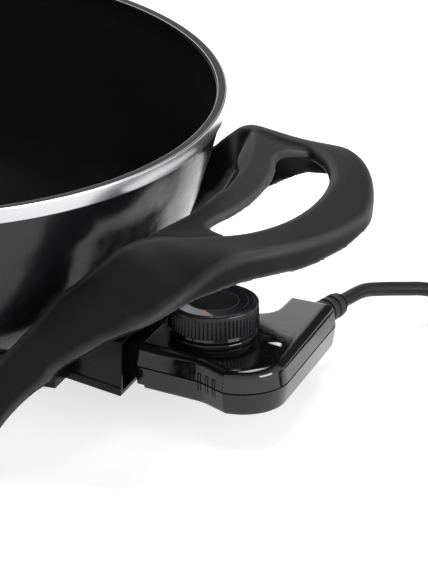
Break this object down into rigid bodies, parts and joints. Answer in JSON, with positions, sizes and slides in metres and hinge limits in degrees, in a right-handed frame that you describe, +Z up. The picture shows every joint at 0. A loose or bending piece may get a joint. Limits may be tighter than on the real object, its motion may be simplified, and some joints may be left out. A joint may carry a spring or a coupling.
{
  "type": "electric wok",
  "caption": "Electric wok: cast pan with a bright rim, loop handles that run down into legs, and a plug-in thermostat with a ribbed dial and a lead.",
  "frame": {"origin": "on the floor under the middle of the pan", "axes": "+Z up; +X from the middle of the pan to the thermostat's dial; +Y to the side where the lead leaves"},
  "size_m": [0.5736, 0.3557, 0.142],
  "materials": {
    "cast_black": "black non-stick coat inside, gloss enamel outside",
    "rim_metal": "bright",
    "steel": "plain",
    "brass": "plain",
    "matte_black": "fine matte grain",
    "gloss_black": "polished",
    "rubber": "matte",
    "jacket": "satin",
    "ceramic": "unglazed",
    "label": "printed",
    "lamp": "frosted"
  },
  "bodies": {
    "wok": {"wok_pan": "cast_black", "rim_ring": "rim_metal", "element_plate": "steel", "element_plate_screw": "steel", "probe_guide": "steel", "heating_element": "steel", "leg_strap_right": "steel", "leg_strap_left": "steel", "leg_screw_1": "steel", "leg_screw_2": "steel", "leg_screw_3": "steel", "leg_screw_4": "steel", "pan_screw_1": "steel", "pan_screw_2": "steel", "pan_screw_3": "steel", "pan_screw_4": "steel", "socket_screw_1": "steel", "socket_screw_2": "steel", "terminal_pin_1": "brass", "terminal_pin_2": "brass", "handle_frame_right": "matte_black", "handle_frame_left": "matte_black", "socket_shroud": "matte_black", "foot_pad_1": "rubber", "foot_pad_2": "rubber", "foot_pad_3": "rubber", "foot_pad_4": "rubber", "terminal_block": "ceramic"},
    "thermostat": {"thermostat_top": "gloss_black", "thermostat_bottom": "gloss_black", "case_screw_1": "steel", "case_screw_2": "steel", "case_screw_3": "steel", "thermostat_switch": "ceramic", "pilot_lamp": "lamp", "pilot_lens": "lamp", "thermostat_nose": "matte_black", "contact_sleeve_1": "brass", "contact_sleeve_2": "brass", "probe_rod": "rim_metal", "dial_collar": "gloss_black", "cord_gland": "rubber", "mains_cord": "jacket", "cord_coil": "jacket", "cord_tail": "jacket", "coil_tie": "rubber", "plug_body": "rubber", "plug_pin_1": "rim_metal", "plug_pin_2": "rim_metal", "plug_earth_1": "rim_metal", "plug_earth_2": "rim_metal"},
    "dial": {"dial_knob": "gloss_black", "dial_scale": "label", "dial_shaft": "steel"}
  },
  "joints": [
    {"name": "thermostat_pull", "type": "slide", "parent": "wok", "child": "thermostat", "axis": [1, 0, 0], "range_m": [0, 0.07]},
    {"name": "dial_turn", "type": "hinge", "parent": "thermostat", "child": "dial", "pos_m": [0.165, 0, 0.045], "axis": [0, 0, 1], "range_deg": [-250, 0]}
  ]
}
